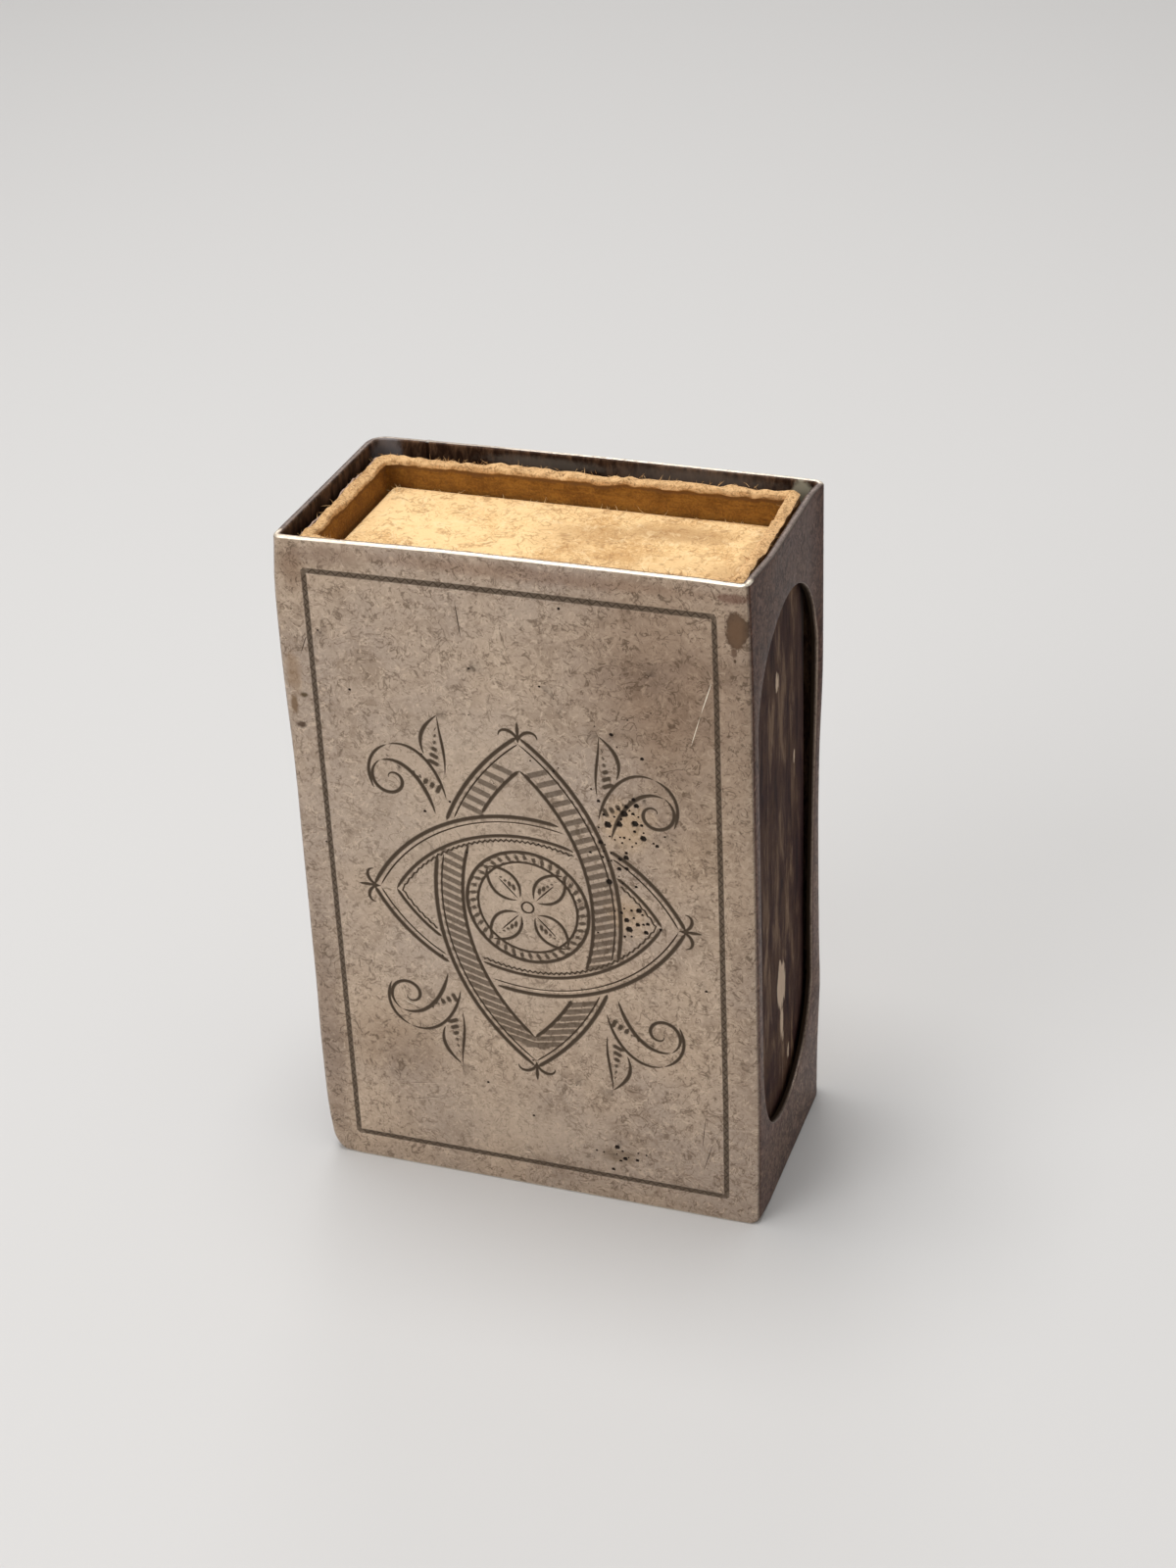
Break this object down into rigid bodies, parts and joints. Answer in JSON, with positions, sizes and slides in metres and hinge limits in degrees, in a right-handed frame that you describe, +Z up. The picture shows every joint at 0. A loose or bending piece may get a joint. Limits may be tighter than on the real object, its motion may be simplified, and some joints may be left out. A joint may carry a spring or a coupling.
{
  "type": "matchbox holder",
  "caption": "Silver sleeve, open at both ends, with a round-ended striking window in each narrow side, holding a board matchbox with a sliding tray of matches.",
  "frame": {"origin": "middle of the base of the sleeve, on the surface it stands on", "axes": "+X to the right as seen from the engraved front, +Y to the back, +Z up along the sleeve"},
  "size_m": [0.038, 0.02, 0.0585],
  "materials": {
    "silver": "tarnished satin",
    "solder": "dull",
    "strawboard": "fibrous matt",
    "wrap_paper": "aged matt",
    "striker": "gritty, worn",
    "tray_board": "fibrous matt",
    "tray_paper": "aged matt",
    "match_wood": "raw split aspen",
    "match_head": "dipped, matt"
  },
  "bodies": {
    "sleeve": {"silver_sleeve": "silver", "seam_solder": "solder"},
    "matchbox_case": {"case_board": "strawboard", "case_wrap_paper": "wrap_paper", "striker_right": "striker", "striker_left": "striker"},
    "tray": {"tray_walls": "tray_board", "tray_floor": "tray_board", "tray_paper": "tray_paper", "match_stick_01": "match_wood", "match_stick_02": "match_wood", "match_stick_03": "match_wood", "match_stick_04": "match_wood", "match_stick_05": "match_wood", "match_stick_06": "match_wood", "match_stick_07": "match_wood", "match_stick_08": "match_wood", "match_stick_09": "match_wood", "match_stick_10": "match_wood", "match_stick_11": "match_wood", "match_stick_12": "match_wood", "match_stick_13": "match_wood", "match_stick_14": "match_wood", "match_stick_15": "match_wood", "match_stick_16": "match_wood", "match_stick_17": "match_wood", "match_stick_18": "match_wood", "match_stick_19": "match_wood", "match_stick_20": "match_wood", "match_stick_21": "match_wood", "match_stick_22": "match_wood", "match_head_01": "match_head", "match_head_02": "match_head", "match_head_03": "match_head", "match_head_04": "match_head", "match_head_05": "match_head", "match_head_06": "match_head", "match_head_07": "match_head", "match_head_08": "match_head", "match_head_09": "match_head", "match_head_10": "match_head", "match_head_11": "match_head", "match_head_12": "match_head", "match_head_13": "match_head", "match_head_14": "match_head", "match_head_15": "match_head", "match_head_16": "match_head", "match_head_17": "match_head", "match_head_18": "match_head", "match_head_19": "match_head", "match_head_20": "match_head", "match_head_21": "match_head", "match_head_22": "match_head"}
  },
  "joints": [
    {"name": "box_slide", "type": "slide", "parent": "sleeve", "child": "matchbox_case", "axis": [0, 0, 1], "range_m": [0, 0.05]},
    {"name": "tray_slide", "type": "slide", "parent": "matchbox_case", "child": "tray", "axis": [0, 0, 1], "range_m": [0, 0.045]}
  ]
}
